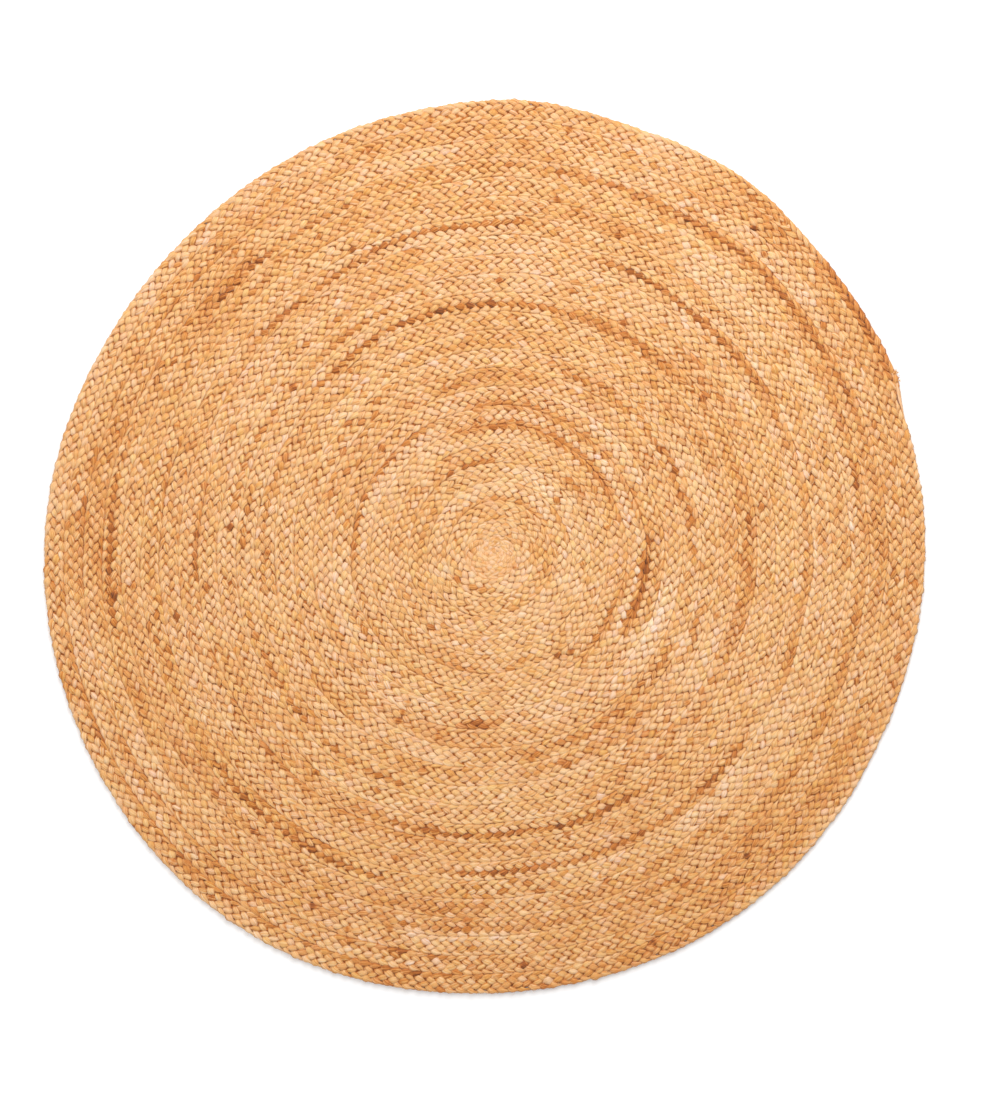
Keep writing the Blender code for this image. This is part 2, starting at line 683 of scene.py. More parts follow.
@dataclass(frozen=True)
class JuteLots:
    """How the jute's tone and warmth change along a plait.

    The lot and the stretch go by metres along a strand, the cell by crossings. The outward fade
    darkens the coil's outer turns a little and lightens its inner ones: painted shade and painted
    light that even out how the lamps light the coil. The last two are shared by neighbouring
    strands: by all columns of the plait, and by one column alone.
    """

    tone: float = 0.595
    lot: Drift = Drift(0.026, 0.55)
    stretch: Drift = Drift(0.029, 0.11)
    cell: Drift = Drift(0.032, 1.0)
    # painted shade on the outer turns and painted light on the inner ones
    outward_painted_shade: float = 0.02
    outward: Fade = Fade(0.26, 0.30)
    patch: Rare = Rare(0.16, 1.35, 1.4, -0.14)
    fleck: Rare = Rare(1.0, 2.0, 0.8, -0.40)
    pale_cell: Rare = Rare(1.2, 2.0, 1.0, 0.12)
    warmth: float = 0.5
    cell_warmth: Drift = Drift(0.17, 1.3)
    lot_warmth: Drift = Drift(0.10, 0.4)
    all_columns: Drift = Drift(0.029, 0.14)
    one_column: Drift = Drift(0.030, 0.045)
    tone_limits: Span = Span(0.02, 0.98)

    def values(self, seed: int, marks: Array, run: Array, outer: Array) -> tuple[Array, Array]:
        """Work out a strand's own jute, with the painted shade of the outer turns.

        Args:
            seed: picks the strand's jute.
            marks: places along the strand, counted in crossings.
            run: the same places in metres.
            outer: the coil's outer radius at each of them.

        Returns:
            Tone, from 0, darkest, to 1, palest, and warmth, from 0 to 1.
        """
        tone = self.tone + self.lot.at(seed, run) + self.stretch.at(seed + 1, run)
        tone = tone + self.cell.at(seed + 2, marks)
        # painted shade on the outer turns and painted light on the inner ones
        tone = tone + self.outward_painted_shade * (1.0 - 2.0 * self.outward.at(outer))
        tone = tone + self.patch.at(seed + 3, run) + self.fleck.at(seed + 4, marks)
        tone = tone + self.pale_cell.at(seed + 5, marks)
        warmth = self.warmth + self.cell_warmth.at(seed + 6, marks)
        return tone, warmth + self.lot_warmth.at(seed + 7, run)


@dataclass(frozen=True)
class BandEdges:
    """How soft a band's ends and sides are, and how unevenly its cells take its shade.

    An end fades out over end metres, but never over more than end_share of half the band, nor
    over the angle that it would take inside least_radius.
    """

    end: float = 0.10
    end_share: float = 0.8
    least_radius: float = 0.05
    side: float = 0.004
    cover: float = 0.98
    cell: Drift = Drift(0.17, 1.0)
    cell_limits: Span = Span(0.3, 1.2)
    seed: int = 4000
    seed_step: int = 13

    def end_angle(self, half: float, radius: float) -> float:
        """Return the angle that a band of this half length and radius fades out over."""
        return min(self.end_share * half, self.end / max(radius, self.least_radius))

    def covers(self, number: int, strand: int, crossings: Array) -> Array:
        """Work out how much of a band's shade a strand's cells take.

        Args:
            number: which band.
            strand: which strand of the plait.
            crossings: the strand's crossings.

        Returns:
            The share of the shade at each crossing.
        """
        own = self.cell.at(self.seed + self.seed_step * number + strand, crossings)
        return np.clip(self.cover + own, *self.cell_limits)


@dataclass(frozen=True)
class Route:
    """One strand, ring by ring, from the heart of the coil to its end.

    marks counts the crossings, back is the winding angle and run the metres along the plait.
    wave is the strand's height, from -1 underneath to 1 on top, and across its place over the
    plait's width. heart is 1 in the middle of the coil and 0 outside it, ends falls to 0 at both
    of the strand's ends, and size is its share of a full strand.
    """

    index: int
    seed: int
    marks: Array
    back: Array
    run: Array
    wave: Array
    across: Array
    heart: Array
    ends: Array
    size: Array


@dataclass(frozen=True)
class Plait:
    """A flat plait of an odd number of strands, each over one and under one, on the coil.

    A strand's place over the plait's width is a share of that width, from its middle. Marks
    count a strand's crossings, and a cell of the weave is two of them. Strands lead ahead where
    they lie on top and are pinched between crossings. The heart is the middle of the coil, where
    they lie flat and broad. Bands no broader than column_breadth take up one column of cells.
    """

    name: str
    path: CoilPath
    strands: int
    width: float
    first_back: float
    last_back: float
    fade_in: float
    fade_out: float
    pitch: float = 0.0140
    inner_pitch_share: float = 0.90
    inner_reach: Fade = Fade(0.17, 0.06)
    least_pitch_share: float = 0.45
    least_radius: float = 0.004
    track_steps: int = 60000
    over_rings: tuple[float, ...] = (-0.5, -0.24, 0.0, 0.24)
    under_rings: tuple[float, ...] = (-0.5, 0.0)
    strand_width: float = 0.0096
    strand_thickness: float = 0.0046
    least_size: float = 0.30
    end_size: float = 0.25
    least_room: float = 0.2
    pinch: float = 0.78
    pinch_shape: float = 0.8
    least_bulge: float = 0.85
    lead: float = 0.45
    lag: float = 0.45
    edge_width_share: float = 0.52
    edge_start: Fade = Fade(0.37, 0.07)
    edge_reach: float = 0.445
    edge_delay: float = 1.5
    outer_column: float = 0.375
    turn_reach: float = 0.25
    crest: float = 0.45
    lift: float = 0.00195
    mid_height: float = 0.0050
    crown: float = 0.0006
    end_drop: float = 0.0022
    floor_gap: float = 0.0002
    heart: Fade = Fade(0.016, 0.030)
    heart_flatness: float = 0.80
    heart_breadth: float = 0.55
    heart_tone: float = -0.05
    heart_warmth: float = 0.08
    # how much less of the section's painted shade the strands have in the heart
    heart_evenness: float = 0.8
    column_breadth: float = 0.0115
    seed: int = 100
    seed_step: int = 17
    jute_seed: int = 1000
    jute_seed_step: int = 31
    stretch_seed: int = 50
    column_seed: int = 60
    hand: HandWork = HandWork()
    jute: JuteLots = JuteLots()
    band_edges: BandEdges = BandEdges()
    bands: tuple[Band, ...] = BANDS

    def track(self) -> tuple[Array, Array, Array]:
        """Run along the plait.

        Returns:
            Back angles from its first place to its last, and the cells and metres run at each.
        """
        back = np.linspace(self.first_back, self.last_back, self.track_steps)
        radius = self.path.middle_radius(back)
        step = np.abs(np.gradient(back)) * np.maximum(radius, self.least_radius)
        inner = grown(self.inner_pitch_share, self.inner_reach.at(radius))
        room = grown(self.least_pitch_share, np.clip(self.path.room(back), 0.0, 1.0))
        return back, np.cumsum(step / (self.pitch * inner * room)), np.cumsum(step)

    def events(self, count: int) -> Array:
        """List what a strand does at its crossings: an edge, then over and under in turn.

        Args:
            count: how many crossings.

        Returns:
            The value of each one's kind.
        """
        since_edge = (np.arange(count) - (self.strands - 1) // 2) % self.strands
        kinds = np.where(since_edge % 2 == 1, Crossing.OVER.value, Crossing.UNDER.value)
        return np.where(since_edge == 0, Crossing.EDGE.value, kinds)

    def ring_marks(self, first: int, last: int, kinds: Array) -> Array:
        """Choose where the rings lie: most of them where the strand is on top.

        Args:
            first: the first crossing.
            last: the one after the last.
            kinds: what the strand does at each crossing.

        Returns:
            The rings' places, counted in crossings.
        """
        offsets = np.full((last - first, len(self.over_rings)), np.nan)
        offsets[:, : len(self.under_rings)] = self.under_rings
        offsets[kinds[first:last] == Crossing.OVER.value] = self.over_rings
        marks = (np.arange(first, last)[:, None] + offsets).ravel()
        return marks[~np.isnan(marks)]

    def height_wave(self, marks: Array, kinds: Array) -> Array:
        """Work out how high a strand runs.

        Args:
            marks: places along it, counted in crossings.
            kinds: what it does at each crossing.

        Returns:
            Its height at each mark, from -1 underneath to 1 on top.
        """
        low = np.floor(marks).astype(int)
        share = marks - low
        here, there = kinds[low], kinds[low + 1]
        wave = here + (there - here) * 0.5 * (1.0 - np.cos(np.pi * share))
        edge = Crossing.EDGE.value
        climb = np.where(there == edge, 0.5 * share, 0.5 + 0.5 * share)
        rise = 2.0 * ease(climb**self.edge_delay) - 1.0
        wave = np.where((there == edge) | (here == edge), rise, wave)
        return (1.0 - self.crest) * wave + self.crest * np.sin(0.5 * np.pi * wave)

    def stretch(self, marks: Array, kinds: Array) -> Array:
        """Work out how far a strand runs ahead, because it lies longest on top.

        Args:
            marks: places along it, counted in crossings.
            kinds: what it does at each crossing.

        Returns:
            How far ahead it is at each mark, in crossings.
        """
        low = np.floor(marks).astype(int)
        share = marks - low
        here, there = kinds[low], kinds[low + 1]
        ahead = 0.5 * (here - there) * np.sin(np.pi * share) / np.pi
        edge = Crossing.EDGE.value
        to_edge = -np.sin(0.5 * np.pi * share) * 2.0 / np.pi
        from_edge = -np.cos(0.5 * np.pi * share) * 2.0 / np.pi
        ahead = np.where(there == edge, to_edge, ahead)
        return np.where(here == edge, from_edge, ahead)

    def across(self, marks: Array) -> Array:
        """Work out where a strand lies over the plait's width, rounding its edges.

        Args:
            marks: places along the strand, counted in crossings.

        Returns:
            Its place across the plait at each mark, as a share of the width.
        """
        swing = np.sin(FULL_TURN * (marks + 0.5) / (2.0 * self.strands))
        straight = np.arcsin(np.clip(swing, -1.0, 1.0)) / math.pi
        column = straight * self.strands / (self.strands - 1)
        over = np.abs(column) - self.outer_column
        turn = (1.0 - over / self.turn_reach) ** 2
        rounded = self.edge_reach + (self.outer_column - self.edge_reach) * turn
        return np.sign(column) * np.where(over > 0.0, rounded, np.abs(column))

    def route(self, index: int) -> Route:
        """Work out where one strand runs.

        Args:
            index: which strand, from 0.

        Returns:
            The strand's route, from its first ring to its last.
        """
        seed = self.seed + self.seed_step * index
        backs, cells, metres = self.track()
        last = int(2.0 * (cells[-1] + index) - 0.5) - 1
        first = int(2.0 * (cells[0] + index) - 0.5) + 2
        kinds = self.events(last + 4)
        marks = self.ring_marks(first, last, kinds)
        ahead = self.stretch(marks, kinds)
        cell = (marks + self.lead * ahead + 0.5) / 2.0 - index
        cell = cell + self.hand.slip.at(seed + 1, marks)
        back = np.interp(cell, cells, backs)
        run = np.interp(cell, cells, metres)
        room = np.clip(self.path.room(back), self.least_room, 1.0)
        width = room * self.path.width_share(back) * self.path.plait_width
        ends = ease((run - run[0]) / self.fade_in) * ease((run[-1] - run) / self.fade_out)
        scale = grown(self.least_size, np.minimum(width / self.width, 1.0))
        return Route(
            index=index,
            seed=seed,
            marks=marks,
            back=back,
            run=run,
            wave=self.height_wave(marks, kinds),
            across=self.across(marks - self.lag * ahead) + self.hand.sway.at(seed + 2, marks),
            heart=1.0 - self.heart.at(self.path.middle_radius(back)),
            ends=ends,
            size=grown(self.end_size, ends) * scale,
        )

    def half_sizes(self, route: Route) -> tuple[Array, Array]:
        """Work out how broad and how thick a strand is.

        Args:
            route: where the strand runs.

        Returns:
            Half of its width and half of its thickness at each ring.
        """
        from_crossing = np.abs(route.marks - np.round(route.marks))
        bulge = grown(self.pinch, np.cos(np.pi * from_crossing) ** self.pinch_shape)
        at_edge = self.edge_start.at(np.abs(route.across))
        width = self.strand_width * route.size * bulge
        width = width * (1.0 + self.hand.width.at(route.seed + 3, route.marks))
        width = width * (1.0 - (1.0 - self.edge_width_share) * at_edge)
        width = width * (1.0 + self.heart_breadth * route.heart)
        thickness = self.strand_thickness * route.size * grown(self.least_bulge, bulge)
        thickness = thickness * (1.0 + self.hand.thickness.at(route.seed + 4, route.marks))
        return 0.5 * width, 0.5 * thickness

    def centre_line(self, route: Route, half_thickness: Array) -> Array:
        """Lay a strand on the coil.

        Args:
            route: where the strand runs.
            half_thickness: half of its thickness at each ring, which keeps it off the floor.

        Returns:
            Its centre line as points, one a ring.
        """
        x, y = self.path.place(route.back, route.across)
        rise = self.lift * route.size * (1.0 - self.heart_flatness * route.heart)
        crown = self.crown * (1.0 - 4.0 * route.across**2) * np.maximum(route.wave, 0.0)
        level = self.hand.level.at(route.seed + 5, route.marks)
        z = self.mid_height + rise * route.wave + crown + level
        z = z - self.end_drop * (1.0 - route.ends)
        return np.stack([x, y, np.clip(z, half_thickness + self.floor_gap, None)], axis=1)

    def strand(self, index: int) -> Tube:
        """Work out one strand.

        Args:
            index: which strand, from 0.

        Returns:
            The strand as a tube, ready to build.
        """
        route = self.route(index)
        half_width, half_thickness = self.half_sizes(route)
        centres = self.centre_line(route, half_thickness)
        side, up = lie_of(centres)
        roll = self.hand.roll.at(route.seed + 6, route.marks)[:, None]
        tone, warmth = self.jute_values(route)
        return Tube(
            name=f"{self.name}_{index + 1}",
            centres=centres,
            sides=side * np.cos(roll) + up * np.sin(roll),
            ups=up * np.cos(roll) - side * np.sin(roll),
            half_widths=half_width,
            half_heights=half_thickness,
            tone=tone + self.heart_tone * route.heart,
            warmth=np.minimum(warmth + self.heart_warmth * route.heart, 1.0),
            # the section's painted shade fades in the heart, where the strands lie flat
            depth=1.0 - self.heart_evenness * route.heart,
        )

    def jute_values(self, route: Route) -> tuple[Array, Array]:
        """Work out the jute's look along a strand.

        Args:
            route: where the strand runs.

        Returns:
            Tone, from 0, darkest, to 1, palest, and warmth, from 0 to 1, at each ring.
        """
        tone, warmth = self.jute.values(
            self.seed + self.jute_seed + self.jute_seed_step * route.index,
            route.marks,
            route.run,
            self.path.outer(route.back),
        )
        tone = tone + self.column_tone(route) + self.band_shade(route)
        return np.clip(tone, *self.jute.tone_limits), np.clip(warmth, 0.0, 1.0)

    def column_tone(self, route: Route) -> Array:
        """Work out the tone that a strand shares with its neighbours in the plait.

        Args:
            route: where the strand runs.

        Returns:
            What is added to its tone at each ring: by stretch, and by column of cells.
        """
        centre = np.floor(route.marks + 0.5)
        centre_run = np.interp(centre, route.marks, route.run)
        column = np.round(self.across(centre) * (self.strands - 1) + 0.5)
        tone = self.jute.all_columns.at(self.seed + self.stretch_seed, centre_run)
        for number in np.unique(column):
            seed = self.seed + self.column_seed + int(number)
            tone = tone + self.jute.one_column.at(seed, centre_run) * (column == number)
        return tone

    def band_shade(self, route: Route) -> Array:
        """Work out what the bands add to a strand's tone, the same all over one crossing.

        Args:
            route: where the strand runs.

        Returns:
            What is added to its tone at each ring.
        """
        edges = self.band_edges
        centre = np.floor(route.marks + 0.5)
        centre_back = np.interp(centre, route.marks, route.back)
        low, high = self.path.inner(centre_back), self.path.outer(centre_back)
        radius = low + (high - low) * (0.5 + self.across(centre))
        angle = math.radians(self.path.tip_deg) + centre_back
        shade = np.zeros_like(route.back)
        for number, band in enumerate(self.bands):
            if (route.index + number) % self.strands >= band.strands:
                continue
            turned = angle - math.radians(band.angle_deg)
            turned = (turned + math.pi) % FULL_TURN - math.pi
            seat, breadth = self.seat(band)
            along = seat - self.path.plait_width * turned / FULL_TURN
            half = 0.5 * math.radians(band.sweep_deg)
            inside = half - np.abs(turned)
            window = ease(inside / edges.end_angle(half, band.radius) + 0.5)
            inside = 0.5 * breadth - np.abs(radius - along)
            window = window * ease(inside / edges.side + 0.5)
            shade = shade + band.shade * window * edges.covers(number, route.index, centre)
        return shade

    def seat(self, band: Band) -> tuple[float, float]:
        """Return where a band lies: a narrow one takes up just one column of the plait's cells.

        Args:
            band: the darker or paler stretch.

        Returns:
            Its radius and its breadth.
        """
        if band.breadth > self.column_breadth:
            return band.radius, band.breadth
        start = math.radians(band.angle_deg - self.path.tip_deg) % FULL_TURN
        turns = np.arange(start, self.path.table[0][-1], FULL_TURN)
        low, high = self.path.inner(turns), self.path.outer(turns)
        turn = int(np.argmax((band.radius > low) & (band.radius <= high)))
        cell = (high[turn] - low[turn]) / (self.strands - 1)
        column = math.floor((band.radius - low[turn]) / cell)
        return float(low[turn] + (column + 0.5) * cell), float(cell)

    def build(self, material: bpy.types.Material) -> list[bpy.types.Object]:
        """Build every strand of the plait, all in one material."""
        return [self.strand(index).build(material) for index in range(self.strands)]


@dataclass(frozen=True)
class BoundTip:
    """The plait's smooth end, bound to a point and sewn down along the rim.

    It starts as a thin bundle on top of the plait, fills out over start_deg, and sinks a little
    over the last sink_deg. Its angles are measured back from the very tip.
    """

    path: CoilPath
    first_deg: float = 9.5
    last_deg: float = 0.4
    rings: int = 90
    fill: float = 0.95
    widest: float = 0.0030
    thinnest: float = 0.0006
    unevenness: Drift = Drift(0.06, 0.8)
    start_share: float = 0.3
    start_deg: float = 1.5
    extra_depth: float = 0.0008
    deepest: float = 0.0028
    height: float = 0.0052
    sink: float = 0.0012
    sink_deg: float = 2.5
    tone: float = 0.58
    tone_drift: Drift = Drift(0.05, 1.1)
    warmth: float = 0.75
    seed: int = 900

    def build(self, material: bpy.types.Material) -> bpy.types.Object:
        """Build the tip as one tapered bundle of fibres.

        Args:
            material: what the tip wears.

        Returns:
            The tip's object, at the origin.
        """
        from_tip = np.linspace(self.first_deg, self.last_deg, self.rings)
        back = np.radians(from_tip)
        room = 0.5 * self.path.plait_width * self.path.width_share(back)
        half = np.clip(self.fill * room, self.thinnest, self.widest)
        half = half * (1.0 + self.unevenness.at(self.seed, from_tip))
        half = half * grown(self.start_share, ease((self.first_deg - from_tip) / self.start_deg))
        x, y = self.path.place(back, 0.5 - 0.5 * half / np.maximum(room, self.thinnest))
        z = np.full_like(x, self.height) - self.sink * (1.0 - ease(from_tip / self.sink_deg))
        centres = np.stack([x, y, z], axis=1)
        side, up = lie_of(centres)
        return Tube(
            name="bound_tip",
            centres=centres,
            sides=side,
            ups=up,
            half_widths=half,
            half_heights=np.minimum(self.fill * half + self.extra_depth, self.deepest),
            tone=self.tone + self.tone_drift.at(self.seed + 1, from_tip),
            warmth=np.full_like(x, self.warmth),
        ).build(material)


@dataclass(frozen=True)
class FibreKind:
    """One kind of loose fibre: how many there are, and how they lie, curl and look.

    A fibre's way is turned and leans by chance, climb is how far its end is above its start,
    and arch how high it bows between them. The first few may be stubs, short and thick.
    """

    name: str
    count: int
    seed: int
    lean: float
    length: Span
    height: Span
    climb: Span
    curl: float
    arch: float
    tone: float
    radius: Span = Span(0.00010, 0.00019)
    turn: float = 0.0
    taper: float = 0.65
    stubs: int = 0
    stub_length: float = 0.0060
    stub_radius: float = 0.00125
    tone_spread: float = 0.12
    tone_limits: Span = Span(0.1, 0.95)
    warmth: Span = Span(0.2, 0.9)
    arch_shares: Span = Span(0.3, 1.0)


@dataclass(frozen=True)
class FibreSpray:
    """Many short loose fibres in one mesh, each a thin three-sided tube that tapers and curls.

    aslant is a direction that no fibre runs in, from which its sides are turned out.
    """

    kind: FibreKind
    starts: Array
    ends: Array
    radii: Array
    rings: int = 5
    sides: int = 3
    aslant: tuple[float, float, float] = (0.1, 0.2, 1.0)

    def centre_lines(self) -> Array:
        """Bow every fibre sideways and upwards between its ends.

        Returns:
            The points of every fibre, fibre by fibre.
        """
        random = np.random.default_rng(self.kind.seed + 1)
        share = np.linspace(0.0, 1.0, self.rings)[None, :, None]
        way = self.ends - self.starts
        up = np.array([0.0, 0.0, 1.0])
        bow = random.normal(scale=self.kind.curl, size=(len(way), 1))
        low, high = self.kind.arch_shares
        lift = self.kind.arch * random.uniform(low, high, size=(len(way), 1))
        arch = 4.0 * share * (1.0 - share)
        line = self.starts[:, None, :] + way[:, None, :] * share
        return line + (np.cross(way, up) * bow)[:, None, :] * arch + (lift * up)[:, None, :] * arch

    def points(self) -> Array:
        """Work out the mesh's points.

        Returns:
            The points by fibre, ring and side.
        """
        lines = self.centre_lines()
        along = np.gradient(lines, axis=1)
        along /= np.linalg.norm(along, axis=2, keepdims=True)
        first = np.cross(along, np.array(self.aslant))
        first /= np.linalg.norm(first, axis=2, keepdims=True)
        second = np.cross(first, along)
        thin = 1.0 - self.kind.taper * np.linspace(0.0, 1.0, self.rings)
        radius = (self.radii[:, None] * thin[None, :])[:, :, None, None]
        turn = (FULL_TURN * np.arange(self.sides) / self.sides)[None, None, :, None]
        return (
            lines[:, :, None, :]
            + radius * np.cos(turn) * first[:, :, None, :]
            + radius * np.sin(turn) * second[:, :, None, :]
        )

    def faces(self) -> list[list[int]]:
        """List the faces of every fibre: its sides, then its two closed ends.

        Returns:
            The points of each face.
        """
        sides, size = self.sides, self.rings * self.sides
        base = (np.arange(len(self.starts)) * size)[:, None, None]
        faces = (ring_faces(self.rings, sides)[None] + base).reshape(-1, 4).tolist()
        for start in range(0, len(self.starts) * size, size):
            faces.append(list(range(start, start + sides)))
            faces.append(list(range(start + size - sides, start + size))[::-1])
        return faces

    def build(self, material: bpy.types.Material) -> bpy.types.Object:
        """Build all the fibres as closed tubes in one mesh, each of one tone and one warmth.

        Args:
            material: what the fibres wear.

        Returns:
            The spray's object, at the origin.
        """
        kind = self.kind
        points = self.points().reshape(-1, 3)
        mesh = bpy.data.meshes.new(kind.name)
        mesh.from_pydata(points.tolist(), [], self.faces())
        mesh.shade_smooth()
        mesh.materials.append(material)
        random = np.random.default_rng(kind.seed + 2)
        count, each = len(self.starts), self.rings * self.sides
        tone = np.clip(random.normal(kind.tone, kind.tone_spread, size=count), *kind.tone_limits)
        warmth = kind.warmth.draw(random, count)
        write_jute(mesh, np.repeat(tone, each), np.repeat(warmth, each), points)
        return link(kind.name, mesh)


@dataclass(frozen=True)
class LooseJute:
    """The fibres that have worked loose: over the top, round the rim and at the tail's end."""

    path: CoilPath
    top_radius: float = 0.59
    heart_gap: float = 0.001
    tip_gap: float = 0.05
    rim_place: float = 0.42
    tuft_deg: Span = Span(5.9, 7.7)
    tuft_place: Span = Span(0.26, 0.42)
    top: FibreKind = FibreKind(
        name="loose_fibres_top",
        count=900,
        seed=1300,
        lean=0.55,
        length=Span(0.006, 0.017),
        height=Span(0.0084, 0.0093),
        climb=Span(-0.0008, 0.0004),
        curl=0.16,
        arch=0.0012,
        tone=0.70,
    )
    rim: FibreKind = FibreKind(
        name="loose_fibres_rim",
        count=300,
        seed=1310,
        lean=0.9,
        length=Span(0.003, 0.0085),
        height=Span(0.003, 0.0075),
        climb=Span(-0.0015, 0.0015),
        curl=0.22,
        arch=0.0008,
        tone=0.66,
    )
    tuft: FibreKind = FibreKind(
        name="tail_tuft",
        count=21,
        seed=1320,
        lean=0.30,
        length=Span(0.005, 0.0095),
        height=Span(0.0055, 0.0085),
        climb=Span(-0.0005, 0.0012),
        curl=0.10,
        arch=0.0004,
        tone=0.52,
        radius=Span(0.00014, 0.00030),
        turn=0.25,
        taper=0.45,
        stubs=5,
    )

    def spray(
        self, kind: FibreKind, random: np.random.Generator, x: Array, y: Array, way: Array
    ) -> FibreSpray:
        """Lay one kind of loose fibres.

        Args:
            kind: which kind.
            random: where their chances are drawn from.
            x: where each fibre starts, in X.
            y: where it starts, in Y.
            way: the angle that it runs off at, before it leans.

        Returns:
            The spray, ready to build.
        """
        way = way + random.normal(kind.turn, kind.lean, size=kind.count)
        stub = np.arange(kind.count) < kind.stubs
        length = np.where(stub, kind.stub_length, kind.length.draw(random, kind.count))
        starts = np.stack([x, y, kind.height.draw(random, kind.count)], axis=1)
        climb = kind.climb.draw(random, kind.count)
        ends = starts + np.stack([length * np.cos(way), length * np.sin(way), climb], axis=1)
        radii = np.where(stub, kind.stub_radius, kind.radius.draw(random, kind.count))
        return FibreSpray(kind, starts, ends, radii)

    def on_top(self) -> FibreSpray:
        """Scatter fibres over the top, mostly along the plait.

        Returns:
            The spray, ready to build.
        """
        random = np.random.default_rng(self.top.seed)
        radius = self.top_radius * np.sqrt(random.uniform(self.heart_gap, 1.0, self.top.count))
        angle = random.uniform(0.0, FULL_TURN, self.top.count)
        pulled = radius + self.path.pull(angle, radius)
        middle = self.path.middle()
        x, y = pulled * np.cos(angle) - middle[0], pulled * np.sin(angle) - middle[1]
        return self.spray(self.top, random, x, y, angle - 0.5 * math.pi)

    def round_rim(self) -> FibreSpray:
        """Stand fibres out of the rim.

        Returns:
            The spray, ready to build.
        """
        random = np.random.default_rng(self.rim.seed)
        back = random.uniform(self.tip_gap, FULL_TURN, self.rim.count)
        x, y = self.path.place(back, np.full_like(back, self.rim_place))
        return self.spray(self.rim, random, x, y, np.arctan2(y, x))

    def at_tail(self) -> FibreSpray:
        """Stand the tail's cut ends out of the rim, thick stubs and thin fibres.

        Returns:
            The spray, ready to build.
        """
        random = np.random.default_rng(self.tuft.seed)
        back = np.radians(self.tuft_deg.draw(random, self.tuft.count))
        x, y = self.path.place(back, self.tuft_place.draw(random, self.tuft.count))
        return self.spray(self.tuft, random, x, y, np.arctan2(y, x))

    def build(self, material: bpy.types.Material) -> list[bpy.types.Object]:
        """Build all three sprays, in one material."""
        sprays = (self.on_top(), self.round_rim(), self.at_tail())
        return [spray.build(material) for spray in sprays]


class NodeSheet:
    """Places and joins shader nodes in one tree."""

    def __init__(self, tree: bpy.types.NodeTree) -> None:
        """Keep the tree that the nodes go into."""
        self.tree = tree

    def add(self, kind: str, **settings: object) -> bpy.types.Node:
        """Add a node.

        Args:
            kind: the node's type.
            **settings: the node's own settings, by name.

        Returns:
            The node.
        """
        node = self.tree.nodes.new(kind)
        for name, value in settings.items():
            setattr(node, name, value)
        return node

    def join(self, source: bpy.types.NodeSocket, target: bpy.types.NodeSocket) -> None:
        """Link an output to an input."""
        self.tree.links.new(source, target)

    def math(self, operation: str, first: object, second: object) -> bpy.types.NodeSocket:
        """Add a Math node.

        Args:
            operation: what it does.
            first: a socket or a number.
            second: a socket or a number.

        Returns:
            Its result.
        """
        node = self.add("ShaderNodeMath", operation=operation)
        for index, value in enumerate((first, second)):
            if isinstance(value, bpy.types.NodeSocket):
                self.join(value, node.inputs[index])
            else:
                node.inputs[index].default_value = value
        return node.outputs[0]

    def stretched(
        self, vector: bpy.types.NodeSocket, scale: tuple[float, float, float]
    ) -> bpy.types.NodeSocket:
        """Stretch a vector along its axes.

        Args:
            vector: what is stretched.
            scale: how many times along each axis.

        Returns:
            The stretched vector.
        """
        node = self.add("ShaderNodeVectorMath", operation="MULTIPLY")
        self.join(vector, node.inputs[0])
        node.inputs[1].default_value = scale
        return node.outputs[0]

    def noise(
        self, vector: bpy.types.NodeSocket, detail: float, roughness: float = 0.55
    ) -> bpy.types.NodeSocket:
        """Add a noise.

        Args:
            vector: what it varies over.
            detail: how many finer noises are added to it.
            roughness: how strong the finer ones are.

        Returns:
            Its value, about 0.5 on average.
        """
        node = self.add("ShaderNodeTexNoise")
        node.inputs["Scale"].default_value = 1.0
        node.inputs["Detail"].default_value = detail
        node.inputs["Roughness"].default_value = roughness
        self.join(vector, node.inputs["Vector"])
        return node.outputs["Fac"]


